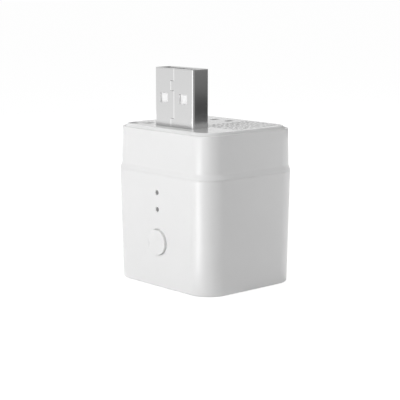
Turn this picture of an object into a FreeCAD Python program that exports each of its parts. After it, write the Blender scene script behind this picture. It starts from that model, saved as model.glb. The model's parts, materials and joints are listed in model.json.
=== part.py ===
"""A small plug-in radio adapter: a two-shell housing with a USB plug on top and a USB socket below.

The front wall carries a push button and two indicator lights. All lengths are millimetres.
X runs to the right along the front wall, Y runs from the front wall to the back wall, Z is up.
The origin is the middle of the foot of the housing.
"""
import FreeCAD
import Part
import math
import os

Vector = FreeCAD.Vector
UP = Vector(0, 0, 1)
INWARD = Vector(0, 1, 0)

# Housing, lower shell
body_width = 30.8           # side wall to side wall, at the seam
body_depth = 26.6           # front wall to back wall, at the seam
corner_radius = 5.2         # upright corners, seen from above
seam_height = 23.8          # top of the lower shell
lower_draft = 0.37          # each wall leans out this much from the foot to the seam
foot_break = 0.3            # broken edge along the foot
wall = 1.8                  # housing wall, floor and top plate

# Housing, upper shell
seam_gap = 0.15             # fine line left open between the shells
flare_height = 0.9          # sloped skirt of the upper shell, just above the seam
upper_step = 0.36           # the upper shell stands back this far from the lower one
upper_draft = 0.15          # each upper wall leans in this much up to the shoulder
shoulder_height = 32.75     # top of the outer rim
shoulder_break = 0.15       # broken edge along the outer rim
rim_width = 0.7             # flat rim round the raised top plate
plate_slope = 0.4           # sloped side of the raised top plate, seen from above
plate_rise = 0.55           # the top plate stands this far above the rim
plate_break = 0.12          # broken edge of the top plate

# Snap joint between the shells
lip_wall = 0.9              # outer lip left on the lower shell
joint_clearance = 0.1       # play all round the inner skirt
skirt_length = 2.75         # how far the inner skirt reaches into the lower shell
bead_height = 0.35          # snap bead on the skirt
bead_length = 9.0           # length of each snap bead
bead_drop = 1.6             # centre of the bead below the seam
bead_play = 0.08            # play of the bead in its groove

# USB plug
plug_width = 12.0           # outside of the folded metal shell
plug_thickness = 4.5
plug_reach = 12.1           # free length above the top plate
plug_length = 20.0          # whole length of the folded shell
plug_distance = 6.9         # centre of the plug behind the front wall
plug_sheet = 0.3            # sheet thickness of the folded shell
plug_bend = 0.5             # outside radius of its bends
plug_slot_play = 0.1        # play all round the plug in the top plate
tip_break = 0.1             # broken edge round the mouth
window_width = 2.4          # four punched windows
window_height = 2.0
window_offset = 3.1         # centre of a window from the middle of the plug
window_from_tip = 6.2       # centre of a window below the tip
seam_slot = 0.07            # open line where the folded edges meet
seam_offset = -0.2          # main run of that line
seam_jog = 0.9              # sideways step of the interlocked tabs
jog_depths = (2.45, 4.5, 10.2)   # steps of the line, below the tip
leg_width = 1.6             # solder legs at the sides
leg_rise = 1.7              # centre of the plug's legs above its foot
leg_stick_out = 0.5         # legs stand this far out of the board
press_fit = 0.03            # play between moulded insulators and the metal round them
plug_tongue_thickness = 1.9 # thickness of the insulating tongue
plug_tongue_setback = 0.7   # the tongue ends this far inside the mouth
block_length = 7.2          # solid rear block of the insulator
block_overhang = 0.5        # rear block below the metal shell

# Contacts, the same pitch in plug and socket
contact_places = (-3.5, -1.0, 1.0, 3.5)
contact_width = 1.0
contact_sheet = 0.25
power_setback = 0.8         # outer contacts start this far behind the tongue's tip
signal_setback = 1.8        # inner contacts start further back
contact_foot = 1.5          # soldered foot of each plug contact

# USB socket
socket_width = 13.2         # outside of the folded metal shell
socket_thickness = 5.75
socket_length = 14.0
socket_sheet = 0.3
socket_bend = 0.6
socket_recess = 0.2         # mouth above the foot of the housing
flare_reach = 0.5           # mouth flange, outward
flare_length = 0.6          # mouth flange, along the socket
socket_play = 0.15          # play round the socket in the floor
socket_tongue_width = 11.1
socket_tongue_thickness = 1.84
socket_tongue_length = 8.4
socket_tongue_offset = 0.97 # tongue centre behind the socket's centre
socket_tongue_setback = 0.9 # the tongue ends this far inside the mouth
tongue_bevel = 0.3          # broken edges at the tongue's end
spring_width = 1.8
spring_length = 6.0
spring_crest = 4.5          # the springs come nearest to the plug this far below their roots
spring_dip = 0.5            # each spring reaches this far into the mouth
spring_slot = 0.3           # slot cut round each spring
spring_offset = 3.0         # centre of a wide-side spring from the middle
spring_setback = 0.3        # the springs' roots stay this far below the rear block
socket_leg_heights = (4.6, 11.9)
crest = 0.3                 # contacts bow this far off the tongue
crest_length = 2.1          # half the length of the bow
tail_pitch = 1.6            # height between the inner and outer contact pins

# Main board
board_thickness = 1.2
board_play = 0.2            # play at the side walls and in the rails
board_top = 29.9
floor_play = 0.05           # the board stands this far above the floor
solder_film = 0.05          # between the metal shells and the board
hole_play = 0.1             # play of pins and legs in the board
rail_grip = 1.0             # how far the rails overlap the board's edges
rail_thickness = 1.0
fork_width = 3.0            # forks under the top plate that hold the board's top edge
fork_offset = 10.6
fork_grip = 1.0             # how far a fork reaches down past the board's top edge
collar_wall = 1.0           # collar under the plug slot
collar_drop = 1.0
cradle_height = 3.0         # two ribs beside the socket
cradle_thickness = 1.0
cradle_length = 3.6

# Push button
button_height = 9.6         # centre of the button above the foot
button_radius = 2.6
button_gap = 0.15           # ring-shaped gap round the button
button_proud = 0.55         # the face stands out of the front wall
button_break = 0.35         # broken rim of the face
button_travel = 0.3
guide_collar_wall = 1.25    # guide collar round the button, inside the wall
guide_collar_length = 0.9
button_flange = 1.0         # retaining flange beyond the button's radius
flange_thickness = 0.8
flange_gap = 0.05           # between flange and collar at rest
button_post_radius = 1.6
hole_break = 0.1            # broken outer edge of the button hole

# Tactile switch behind the button
switch_side = 6.0
switch_body_height = 3.5
switch_total_height = 5.0
plunger_radius = 1.75
plunger_play = 0.05
plunger_foot = 0.3          # foot flange beyond the plunger's radius
plunger_foot_thickness = 0.5
switch_cover = 0.6
dome_sheet = 0.15
dome_rise = 0.7
dome_play = 0.1

# Indicator lights and their light guide
led_pitch = 3.55            # upper light to lower light
led_length = 1.6
led_depth = 0.8
led_thickness = 0.7
light_hole_radius = 0.5
light_rod_play = 0.05
light_recess = 0.15         # rods end this far inside the wall's face
guide_pad = 0.3             # pad on the wall that the guide plate lies on
guide_plate_thickness = 1.0
guide_plate_width = 6.4
guide_plate_margin = 0.95   # plate beyond the outer rods
guide_top_play = 0.05       # between the guide's pad and the shells' joint
guide_tail_radius = 0.75
light_gap = 0.3             # between guide and lights
guide_pin_radius = 0.45
guide_pin_offset = 2.3
guide_pin_stick_out = 0.3

# Radio module on the back of the board
radio_width = 10.8
radio_length = 13.0
radio_thickness = 0.8
radio_lift = 0.6            # above the socket's contact pins
pad_pitch = 1.5
pad_size = 0.8
pad_count = 7
shield_width = 9.2
shield_length = 8.6
shield_height = 2.0
shield_sheet = 0.2
shield_round = 0.4
shield_margin = 0.6         # from the module's lower edge
radio_chip_side = 5.0
radio_chip_height = 0.9
radio_chip_drop = 1.0       # chip centre below the middle of the shield
crystal_width = 2.5
crystal_length = 2.0
crystal_height = 0.6
crystal_gap = 0.6           # between the chip and the crystal
antenna_line = 0.6
antenna_pitch = 1.5
antenna_height = 2.9
antenna_thickness = 0.1
antenna_turns = 7

# Parts soldered to the board. A margin is from a centre to the board's side, a rise is above the foot.
load_switch_margin = 5.0
load_switch_rise = 8.25
load_switch_size = (3.9, 4.9, 1.5)
load_switch_leads = 4
load_switch_lead_pitch = 1.27
load_switch_lead = (1.0, 0.4, 0.25)
regulator_margin = 5.0
regulator_rise = 8.0
regulator_size = (1.6, 2.9, 1.1)
inductor_margin = 5.0
inductor_rise = 15.6
inductor_side = 4.0
inductor_height = 1.8
inductor_round = 1.0
can_radius = 2.5
can_height = 5.4
can_crimp = 0.25            # depth of the crimped groove, and bevel of the can's end
can_crimp_height = 1.3
can_margin = 3.6
can_rise = 24.0
chip_size = (0.8, 1.6)
resistor_height = 0.45
ceramic_height = 0.8
chip_margin = 2.8           # first chip of each row
chip_pitch = 1.9
chip_count = 4
row_gap = 0.6               # lower chip row above the socket's highest pins
row_pitch = 2.6
chip_bevel = 0.15

# Places that follow from the sizes above
plate_height = shoulder_height + plate_rise
plug_tip = plate_height + plug_reach
plug_foot = plug_tip - plug_length
plug_y = plug_distance - body_depth / 2
leg_height = plug_foot + leg_rise
board_front = plug_y + plug_thickness / 2 + solder_film
board_back = board_front + board_thickness
board_foot = wall + floor_play
socket_y = board_back + solder_film + socket_thickness / 2
socket_end = socket_recess + socket_length


def outline(width, depth, radius, height, x=0.0, y=0.0):
    """A closed rectangle with round corners, lying flat at the given height."""
    arcs = []
    for side_x, side_y, start in ((1, -1, -90), (1, 1, 0), (-1, 1, 90), (-1, -1, 180)):
        middle = Vector(x + side_x * (width / 2 - radius), y + side_y * (depth / 2 - radius), height)
        circle = Part.Circle(middle, UP, radius)
        arcs.append(Part.ArcOfCircle(circle, math.radians(start), math.radians(start + 90)).toShape())
    edges = []
    for number, arc in enumerate(arcs):
        following = arcs[(number + 1) % len(arcs)]
        edges.append(arc)
        edges.append(Part.makeLine(arc.Vertexes[-1].Point, following.Vertexes[0].Point))
    return Part.Wire(edges)


def loft(low, high):
    """A solid between two outlines, with straight walls."""
    return Part.makeLoft([low, high], True, True)


def prism(width, depth, radius, low, high, x=0.0, y=0.0):
    """An upright bar with round corners."""
    return Part.Face(outline(width, depth, radius, low, x, y)).extrude(UP * (high - low))


def box(x_range, y_range, z_range):
    """A plain block between three pairs of limits."""
    size = [high - low for low, high in (x_range, y_range, z_range)]
    return Part.makeBox(size[0], size[1], size[2], Vector(x_range[0], y_range[0], z_range[0]))


def around(middle, size):
    """The pair of limits that lies evenly round a middle."""
    return (middle - size / 2, middle + size / 2)


def rod(radius, start, end, x, height):
    """A round rod along Y."""
    return Part.makeCylinder(radius, end - start, Vector(x, start, height), INWARD)


def ribbon(points, thickness, width, x):
    """A bent strip whose centre line runs through points (y, z), as wide as width along X."""
    sides = ([], [])
    for number, (y, z) in enumerate(points):
        before = points[max(number - 1, 0)]
        after = points[min(number + 1, len(points) - 1)]
        first = Vector(0, y - before[0], z - before[1])
        second = Vector(0, after[0] - y, after[1] - z)
        first = (first if first.Length > 0 else second).normalize()
        second = (second if second.Length > 0 else first).normalize()
        across = Vector(0, -first.z - second.z, first.y + second.y).normalize()
        reach = thickness / 2 / across.dot(Vector(0, -first.z, first.y))
        for side, sign in zip(sides, (1, -1)):
            side.append(Vector(x - width / 2, y, z) + across * (sign * reach))
    loop = sides[0] + sides[1][::-1]
    return Part.Face(Part.makePolygon(loop + loop[:1])).extrude(Vector(width, 0, 0))


def edges_at(shape, height):
    """The edges that lie flat at the given height."""
    return [edge for edge in shape.Edges if all(abs(v.Z - height) < 1e-6 for v in edge.Vertexes)]


def lower_lean(height):
    """How far the lower shell's walls stand back from the seam outline at a height."""
    return lower_draft * (1 - height / seam_height)


def lower_outline(height, inset):
    """The lower shell's outline at a height, drawn in by inset and by the lean of its walls."""
    back = lower_lean(height) + inset
    return outline(body_width - 2 * back, body_depth - 2 * back, corner_radius - inset, height)


def upper_outline(height, inset, lean=0.0):
    """The upper shell's outline at a height, drawn in by inset and by the lean of its walls."""
    back = inset + lean
    return outline(body_width - 2 * back, body_depth - 2 * back, corner_radius - inset, height)


def front_face(height):
    """Y of the front wall's outer face."""
    return lower_lean(height) - body_depth / 2


def snap_beads(height, size):
    """Four bars of triangular section on the skirt's outer face, one on each side."""
    skirt_inset = lip_wall + joint_clearance + lower_lean(height)
    beads = []
    for turn in (0, 90, 180, 270):
        face = (body_width if turn % 180 else body_depth) / 2 - skirt_inset
        root = face - joint_clearance
        corners = [Vector(0, root, height - size), Vector(0, face, height - size)]
        corners += [Vector(0, face + size, height), Vector(0, face, height + size)]
        corners.append(Vector(0, root, height + size))
        bead = Part.Face(Part.makePolygon(corners + corners[:1])).extrude(Vector(bead_length, 0, 0))
        bead.translate(Vector(-bead_length / 2, 0, 0))
        bead.rotate(Vector(0, 0, 0), UP, turn)
        beads.append(bead)
    return beads


def make_lower_shell():
    """Open-topped box with the button hole, the light holes, the socket hole and the board's rails."""
    shell = loft(lower_outline(0, 0), lower_outline(seam_height, 0))
    shell = shell.makeChamfer(foot_break, edges_at(shell, 0))
    above = seam_height + wall
    shell = shell.cut(loft(lower_outline(wall, wall), lower_outline(above, wall)))
    rebate_foot = seam_height - skirt_length
    shell = shell.cut(loft(lower_outline(rebate_foot, lip_wall), lower_outline(above, lip_wall)))
    for groove in snap_beads(seam_height - bead_drop, bead_height + bead_play):
        shell = shell.cut(groove)

    # Guide collar of the button and seat pad of the light guide, both on the front wall
    wall_middle = front_face(button_height) + wall / 2
    collar_radius = button_radius + button_gap + guide_collar_wall
    shell = shell.fuse(rod(collar_radius, wall_middle, collar_end, 0, button_height))
    shell = shell.fuse(box(around(0, guide_plate_width), (wall_middle, guide_seat), guide_range))
    for x in (-guide_pin_offset, guide_pin_offset):
        pin_end = guide_seat + guide_plate_thickness + guide_pin_stick_out
        shell = shell.fuse(rod(guide_pin_radius, wall_middle, pin_end, x, guide_middle))
    outside = front_face(0) - wall
    hole_radius = button_radius + button_gap
    shell = shell.cut(rod(hole_radius, outside, collar_end + wall, 0, button_height))
    face = front_face(button_height)
    bevel_depth = hole_break + lower_lean(0)
    bevel = Part.makeCone(hole_radius + bevel_depth, hole_radius, bevel_depth,
                          Vector(0, face - lower_lean(0), button_height), INWARD)
    shell = shell.cut(bevel)
    for height in led_heights:
        shell = shell.cut(rod(light_hole_radius, outside, guide_seat + wall, 0, height))

    # Rails that hold the board's upright edges
    for side in (-1, 1):
        reach = sorted((side * (board_half - rail_grip), side * (inner_half + wall / 2)))
        for start in (board_front - board_play - rail_thickness, board_back + board_play):
            rail = box(reach, (start, start + rail_thickness), (wall / 2, rebate_foot - joint_clearance))
            shell = shell.fuse(rail)

    # Socket hole in the floor, with a wider pocket for the mouth flange, and ribs beside the socket
    for side in (-1, 1):
        start = socket_width / 2 + socket_play
        reach = sorted((side * start, side * (start + cradle_thickness)))
        shell = shell.fuse(box(reach, around(socket_y, cradle_length), (wall / 2, wall + cradle_height)))
    hole_width = socket_width + 2 * socket_play
    hole_depth = socket_thickness + 2 * socket_play
    shell = shell.cut(prism(hole_width, hole_depth, socket_bend, -wall, 2 * wall, 0, socket_y))
    pocket_top = socket_recess + flare_length + socket_play
    shell = shell.cut(prism(hole_width + 2 * flare_reach, hole_depth + 2 * flare_reach,
                            socket_bend + flare_reach, -wall, pocket_top, 0, socket_y))
    return shell


def make_upper_shell():
    """Cap with a flared foot, a raised top plate, the plug slot, the inner skirt and its snap beads."""
    foot = seam_height + seam_gap
    waist = seam_height + flare_height
    shoulder = shoulder_height - shoulder_break
    shell = loft(upper_outline(waist, upper_step), upper_outline(shoulder, upper_step, upper_draft))
    shell = shell.fuse(loft(upper_outline(foot, 0), upper_outline(waist, upper_step)))
    shell = shell.fuse(loft(upper_outline(shoulder, upper_step, upper_draft),
                            upper_outline(shoulder_height, upper_step + shoulder_break, upper_draft)))
    plate_inset = upper_step + upper_draft + rim_width
    plate = loft(upper_outline(shoulder_height, plate_inset),
                 upper_outline(plate_height, plate_inset + plate_slope))
    plate = plate.makeChamfer(plate_break, edges_at(plate, plate_height))
    shell = shell.fuse(plate)

    # Inner skirt that enters the lower shell
    skirt_foot = seam_height - skirt_length + joint_clearance
    skirt_inset = lip_wall + joint_clearance
    shell = shell.fuse(loft(lower_outline(skirt_foot, skirt_inset), lower_outline(waist, skirt_inset)))
    for bead in snap_beads(seam_height - bead_drop, bead_height):
        shell = shell.fuse(bead)
    ceiling = plate_height - wall
    shell = shell.cut(loft(lower_outline(skirt_foot - wall, wall), lower_outline(waist, wall)))
    shell = shell.cut(loft(lower_outline(waist, wall), upper_outline(ceiling, wall, upper_draft)))

    # Collar round the plug and forks over the board's top edge
    slot_width = plug_width + 2 * plug_slot_play
    slot_depth = plug_thickness + 2 * plug_slot_play
    slot_radius = plug_bend + plug_slot_play
    collar_width = slot_width + 2 * collar_wall
    collar_depth = slot_depth + 2 * collar_wall
    shell = shell.fuse(prism(collar_width, collar_depth, slot_radius + collar_wall,
                             ceiling - collar_drop, ceiling + wall / 2, 0, plug_y))
    shell = shell.cut(prism(slot_width, slot_depth, slot_radius, skirt_foot, plug_tip, 0, plug_y))
    board_middle = (board_front + board_back) / 2
    fork_depth = board_thickness + 2 * board_play + 2 * rail_thickness
    for x in (-fork_offset, fork_offset):
        fork = box(around(x, fork_width), around(board_middle, fork_depth),
                   (board_top - fork_grip, ceiling + wall / 2))
        slot = box(around(x, fork_width), around(board_middle, board_thickness + 2 * board_play),
                   (board_top - 2 * fork_grip, board_top + board_play))
        shell = shell.fuse(fork.cut(slot))
    return shell


def make_plug_shell():
    """Folded sheet-metal sleeve, open at both ends, with windows and the line where its edges interlock."""
    sleeve = prism(plug_width, plug_thickness, plug_bend, plug_foot, plug_tip, 0, plug_y)
    sleeve = sleeve.makeChamfer(tip_break, edges_at(sleeve, plug_tip))
    sleeve = sleeve.cut(prism(plug_width - 2 * plug_sheet, plug_thickness - 2 * plug_sheet,
                              plug_bend - plug_sheet, plug_foot - wall, plug_tip + wall, 0, plug_y))
    window_middle = plug_tip - window_from_tip
    for x in (-window_offset, window_offset):
        window = box(around(x, window_width), around(plug_y, 2 * plug_thickness),
                     around(window_middle, window_height))
        sleeve = sleeve.cut(window)

    # The meeting edges run down the front face and step sideways at each interlocked tab
    front = plug_y - plug_thickness / 2
    sheet_range = (front - plug_sheet, front + 2 * plug_sheet)
    heights = [plug_tip + wall] + [plug_tip - depth for depth in jog_depths] + [plug_foot - wall]
    runs = [seam_offset, seam_offset - seam_jog]
    for number in range(len(heights) - 1):
        run = runs[number % 2]
        line = box(around(run, seam_slot), sheet_range, (heights[number + 1], heights[number]))
        sleeve = sleeve.cut(line)
    for height in heights[1:-1]:
        step = (runs[1] - seam_slot / 2, runs[0] + seam_slot / 2)
        sleeve = sleeve.cut(box(step, sheet_range, around(height, seam_slot)))
    for side in (-1, 1):
        leg_x = side * (plug_width - plug_sheet) / 2
        leg_reach = (plug_y + plug_thickness / 2 - plug_bend, board_back + leg_stick_out)
        sleeve = sleeve.fuse(box(around(leg_x, plug_sheet), leg_reach, around(leg_height, leg_width)))
    return sleeve


def make_plug_insulator():
    """Rear block that fills the sleeve, and the tongue that lies against its front face."""
    inside_width = plug_width - 2 * (plug_sheet + press_fit)
    inside_depth = plug_thickness - 2 * (plug_sheet + press_fit)
    radius = plug_bend - plug_sheet
    body = prism(inside_width, inside_depth, radius,
                 plug_foot - block_overhang, plug_foot + block_length, 0, plug_y)
    tongue_y = plug_y - inside_depth / 2 + plug_tongue_thickness / 2
    tongue = prism(inside_width, plug_tongue_thickness, radius,
                   plug_foot, plug_tip - plug_tongue_setback, 0, tongue_y)
    body = body.fuse(tongue)
    for contact in plug_contacts:
        body = body.cut(contact)
    return body


def is_outer(x):
    """Whether a contact belongs to the outer pair."""
    return abs(x) == max(contact_places)


def make_plug_contact(x):
    """Flat strip let into the tongue's rear face, bent back to a soldered foot on the board."""
    setback = power_setback if is_outer(x) else signal_setback
    start = plug_tip - plug_tongue_setback - setback
    face = plug_y - plug_thickness / 2 + plug_sheet + press_fit + plug_tongue_thickness
    strip_y = face - contact_sheet / 2
    foot_y = board_front - contact_sheet / 2
    bend = plug_foot - block_overhang - contact_sheet
    landing = bend - (foot_y - strip_y) / 2
    points = [(strip_y, start), (strip_y, bend), (foot_y, landing), (foot_y, landing - contact_foot)]
    return ribbon(points, contact_sheet, contact_width, x)


def socket_spring(wall_y, inward, x):
    """Tongue-shaped spring: it leans into the mouth and turns back at its free end."""
    dip = wall_y + inward * spring_dip
    points = [(wall_y, spring_root), (wall_y, spring_root - socket_sheet)]
    points.append((dip, spring_root - spring_crest))
    points.append((wall_y + inward * spring_dip / 2, spring_root - spring_length))
    return ribbon(points, socket_sheet, spring_width, x)


def make_socket_shell():
    """Folded sheet-metal sleeve with a flared mouth, six springs and four legs through the board."""
    sleeve = prism(socket_width, socket_thickness, socket_bend, socket_recess, socket_end, 0, socket_y)
    rim_width_out = socket_width + 2 * flare_reach
    rim_depth_out = socket_thickness + 2 * flare_reach
    flare_top = socket_recess + flare_length
    flange = outline(rim_width_out, rim_depth_out, socket_bend + flare_reach, socket_recess, 0, socket_y)
    waist = outline(socket_width, socket_thickness, socket_bend, flare_top, 0, socket_y)
    sleeve = sleeve.fuse(loft(flange, waist))
    inner_bend = socket_bend - socket_sheet
    inner_width = socket_width - 2 * socket_sheet
    inner_depth = socket_thickness - 2 * socket_sheet
    sleeve = sleeve.cut(prism(inner_width, inner_depth, inner_bend,
                              socket_recess - wall, socket_end + wall, 0, socket_y))
    funnel_low = outline(rim_width_out - 2 * socket_sheet, rim_depth_out - 2 * socket_sheet,
                         inner_bend + flare_reach, socket_recess, 0, socket_y)
    funnel_high = outline(inner_width, inner_depth, inner_bend, flare_top, 0, socket_y)
    sleeve = sleeve.cut(loft(funnel_low, funnel_high))

    # Wide sides carry two springs each, narrow sides carry one each
    half_depth = (socket_thickness - socket_sheet) / 2
    half_width = (socket_width - socket_sheet) / 2
    slot_length = spring_length + spring_slot
    slot_range = (spring_root - slot_length, spring_root)
    slot_width = spring_width + 2 * spring_slot
    for side in (-1, 1):
        for x in (-spring_offset, spring_offset):
            wall_y = socket_y + side * half_depth
            sleeve = sleeve.cut(box(around(x, slot_width), around(wall_y, 2 * socket_sheet), slot_range))
            sleeve = sleeve.fuse(socket_spring(wall_y, -side, x))
    for side in (-1, 1):
        slot = box(around(side * half_width, 2 * socket_sheet), around(socket_y, slot_width), slot_range)
        spring = socket_spring(half_width, -1, 0)
        spring.rotate(Vector(0, 0, 0), UP, -90 * side)
        spring.translate(Vector(0, socket_y, 0))
        sleeve = sleeve.cut(slot).fuse(spring)
    for side in (-1, 1):
        for height in socket_leg_heights:
            reach = (board_front - leg_stick_out, socket_y - socket_thickness / 2 + socket_bend)
            leg = box(around(side * half_width, socket_sheet), reach, around(height, leg_width))
            sleeve = sleeve.fuse(leg)
    return sleeve


def make_socket_insulator():
    """Rear block that fills the socket, and the tongue that carries the contacts."""
    inside_width = socket_width - 2 * (socket_sheet + press_fit)
    inside_depth = socket_thickness - 2 * (socket_sheet + press_fit)
    tongue_end = socket_tongue_end
    radius = socket_bend - socket_sheet
    body = prism(inside_width, inside_depth, radius, tongue_end, socket_end, 0, socket_y)
    tongue = box(around(0, socket_tongue_width),
                 around(socket_y + socket_tongue_offset, socket_tongue_thickness),
                 (tongue_end - socket_tongue_length, socket_end))
    rim = edges_at(tongue, tongue_end - socket_tongue_length)
    long_edges = [edge for edge in rim if edge.Length > socket_tongue_thickness]
    body = body.fuse(tongue.makeChamfer(tongue_bevel, long_edges))
    for contact in socket_contacts:
        body = body.cut(contact)
    return body


def contact_tail(x):
    """Height of a socket contact's pin: the outer pins stand higher."""
    return socket_end + contact_sheet + (tail_pitch if is_outer(x) else 0.0)


def make_socket_contact(x):
    """Strip that bows off the tongue, runs through the rear block and ends as a pin in the board."""
    face = socket_y + socket_tongue_offset - socket_tongue_thickness / 2
    flush = face + contact_sheet / 2
    tip = socket_tongue_end - socket_tongue_length + crest_length / 2
    tail = contact_tail(x)
    points = [(flush, tip), (flush - crest, tip + crest_length), (flush, tip + 2 * crest_length)]
    points += [(flush, tail), (board_front - leg_stick_out, tail)]
    return ribbon(points, contact_sheet, contact_width, x)


def make_main_board():
    """Upright circuit board with slots for the metal legs and holes for the socket's contact pins."""
    board = box((-board_half, board_half), (board_front, board_back), (board_foot, board_top))
    through = (board_front - board_thickness, board_back + board_thickness)
    for side in (-1, 1):
        slots = [(side * (plug_width - plug_sheet) / 2, plug_sheet, leg_height)]
        socket_leg_x = side * (socket_width - socket_sheet) / 2
        slots += [(socket_leg_x, socket_sheet, height) for height in socket_leg_heights]
        for x, sheet, height in slots:
            slot = box(around(x, sheet + 2 * hole_play), through, around(height, leg_width + 2 * hole_play))
            board = board.cut(slot)
    for x in contact_places:
        pin_range = around(contact_tail(x), contact_sheet + 2 * hole_play)
        board = board.cut(box(around(x, contact_width + 2 * hole_play), through, pin_range))
    return board


def make_button_cap():
    """Round cap with a retaining flange behind the wall and a post that meets the switch."""
    face = front_face(button_height) - button_proud
    cap = rod(button_radius, face, collar_end + flange_gap + flange_thickness, 0, button_height)
    rim = [edge for edge in cap.Edges if abs(edge.BoundBox.YMax - face) < 1e-6]
    cap = cap.makeChamfer(button_break, rim)
    flange_start = collar_end + flange_gap
    flange_end = flange_start + flange_thickness
    flange = rod(button_radius + button_flange, flange_start, flange_end, 0, button_height)
    return cap.fuse(flange).fuse(rod(button_post_radius, flange_start, plunger_face, 0, button_height))


def make_switch_body():
    """Square switch housing with the plunger's bore and the chamber of the snap dome."""
    front = board_front - switch_body_height
    body = box(around(0, switch_side), (front, board_front), around(button_height, switch_side))
    body = body.makeChamfer(chip_bevel, [e for e in body.Edges if abs(e.BoundBox.YMax - front) < 1e-6])
    body = body.cut(rod(plunger_radius + plunger_play, front - wall, chamber_start, 0, button_height))
    return body.cut(rod(chamber_radius, chamber_start, chamber_end, 0, button_height))


def make_switch_plunger():
    """Round plunger with a wider foot that keeps it in the switch."""
    plunger = rod(plunger_radius, plunger_face, plunger_end, 0, button_height)
    foot = rod(plunger_radius + plunger_foot, chamber_start + plunger_play, plunger_end, 0, button_height)
    return plunger.fuse(foot)


def make_switch_dome():
    """Thin sprung dome that stands on the chamber's floor under the plunger."""
    half = chamber_radius - dome_play
    sphere_radius = (half ** 2 + dome_rise ** 2) / (2 * dome_rise)
    middle = Vector(0, chamber_end - dome_rise + sphere_radius, button_height)
    dome = Part.makeSphere(sphere_radius, middle).cut(Part.makeSphere(sphere_radius - dome_sheet, middle))
    return dome.common(rod(chamber_radius, chamber_end - 2 * dome_rise, chamber_end, 0, button_height))


def make_light_guide():
    """One clear moulding: a plate on the wall's pad, rods into the light holes and tails to the lights."""
    plate_end = guide_seat + guide_plate_thickness
    plate = box(around(0, guide_plate_width), (guide_seat, plate_end), guide_range)
    for x in (-guide_pin_offset, guide_pin_offset):
        hole_radius = guide_pin_radius + light_rod_play
        plate = plate.cut(rod(hole_radius, guide_seat - wall, plate_end + wall, x, guide_middle))
    for height in led_heights:
        tip = front_face(height) + light_recess
        plate = plate.fuse(rod(light_hole_radius - light_rod_play, tip, guide_seat, 0, height))
        tail_end = board_front - led_thickness - light_gap
        plate = plate.fuse(rod(guide_tail_radius, guide_seat, tail_end, 0, height))
    return plate


def make_led(height):
    """Small light on the front of the board, upright so that it passes between the socket's pins."""
    return on_board((0, height), (led_depth, led_length, led_thickness), board_front, -1)


def make_radio_board():
    """Module board soldered flat on the back of the main board, with notched pads down both sides."""
    board = box(around(0, radio_width), (board_back, radio_face), (radio_foot, radio_foot + radio_length))
    for side in (-1, 1):
        for number in range(pad_count):
            height = radio_foot + pad_pitch * (number + 1)
            notch = box(around(side * radio_width / 2, pad_size), (board_front, radio_face + wall),
                        around(height, pad_size))
            board = board.cut(notch)
    return board


def make_radio_shield():
    """Folded metal can over the radio chip, open towards the module board."""
    can = prism(shield_width, shield_length, shield_round, 0, shield_height)
    can = can.makeChamfer(shield_sheet, edges_at(can, shield_height))
    inner = prism(shield_width - 2 * shield_sheet, shield_length - 2 * shield_sheet,
                  shield_round - shield_sheet / 2, -shield_height, shield_height - shield_sheet)
    can = can.cut(inner)
    can.rotate(Vector(0, 0, 0), Vector(1, 0, 0), -90)
    can.translate(Vector(0, radio_face, shield_middle))
    return can


def make_antenna_trace():
    """Copper line folded to and fro at the top of the module board."""
    low = radio_foot + shield_margin + shield_length + antenna_line
    high = low + antenna_height
    depth = (radio_face, radio_face + antenna_thickness)
    first = -antenna_pitch * (antenna_turns - 1) / 2
    trace = None
    for number in range(antenna_turns):
        x = first + number * antenna_pitch
        bar = box(around(x, antenna_line), depth, (low, high))
        trace = bar if trace is None else trace.fuse(bar)
        if number > 0:
            link_z = (high - antenna_line, high) if number % 2 else (low, low + antenna_line)
            trace = trace.fuse(box((x - antenna_pitch, x), depth, link_z))
    return trace


def on_board(place, size, face, outward):
    """A block-shaped component: place across and up, size across, up and off the board."""
    reach = sorted((face, face + outward * size[2]))
    block = box(around(place[0], size[0]), reach, around(place[1], size[1]))
    far = face + outward * size[2]
    rim = [edge for edge in block.Edges if all(abs(v.Y - far) < 1e-6 for v in edge.Vertexes)]
    return block.makeChamfer(chip_bevel, rim)


def make_load_switch():
    """Power switch chip with a row of leads down each side."""
    middle = load_switch_margin - board_half
    chip = on_board((middle, load_switch_rise), load_switch_size, board_front, -1)
    lead_reach, lead_width, lead_sheet = load_switch_lead
    for side in (-1, 1):
        for number in range(load_switch_leads):
            steps = number - (load_switch_leads - 1) / 2
            height = load_switch_rise + steps * load_switch_lead_pitch
            edge = middle + side * load_switch_size[0] / 2
            reach = sorted((edge - side * lead_reach / 2, edge + side * lead_reach))
            lead = box(reach, (board_front - lead_sheet, board_front), around(height, lead_width))
            chip = chip.fuse(lead)
    return chip


def make_inductor():
    """Moulded power inductor with round corners."""
    body = prism(inductor_side, inductor_side, inductor_round, 0, inductor_height)
    body = body.makeChamfer(chip_bevel, edges_at(body, inductor_height))
    body.rotate(Vector(0, 0, 0), Vector(1, 0, 0), 90)
    body.translate(Vector(board_half - inductor_margin, board_front, inductor_rise))
    return body


def make_can_capacitor(x):
    """Round aluminium can with a crimped waist, turned as one profile about its axis."""
    crimp = can_radius - can_crimp
    profile = [(0, 0), (can_radius, 0), (can_radius, can_crimp_height - can_crimp)]
    profile += [(crimp, can_crimp_height), (can_radius, can_crimp_height + can_crimp)]
    profile += [(can_radius, can_height - can_crimp), (crimp, can_height), (0, can_height)]
    points = [Vector(radius, along, 0) for radius, along in profile]
    body = Part.Face(Part.makePolygon(points + points[:1])).revolve(Vector(0, 0, 0), INWARD, 360)
    body.translate(Vector(x, board_back, can_rise))
    return body


def write(name, shape):
    """Save one piece as a STEP file of its own."""
    solid = shape.removeSplitter()
    if len(solid.Solids) != 1 or not solid.isValid():
        raise ValueError(name + " is not one valid solid")
    solid.Solids[0].exportStep("parts/" + name + ".step")


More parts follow.
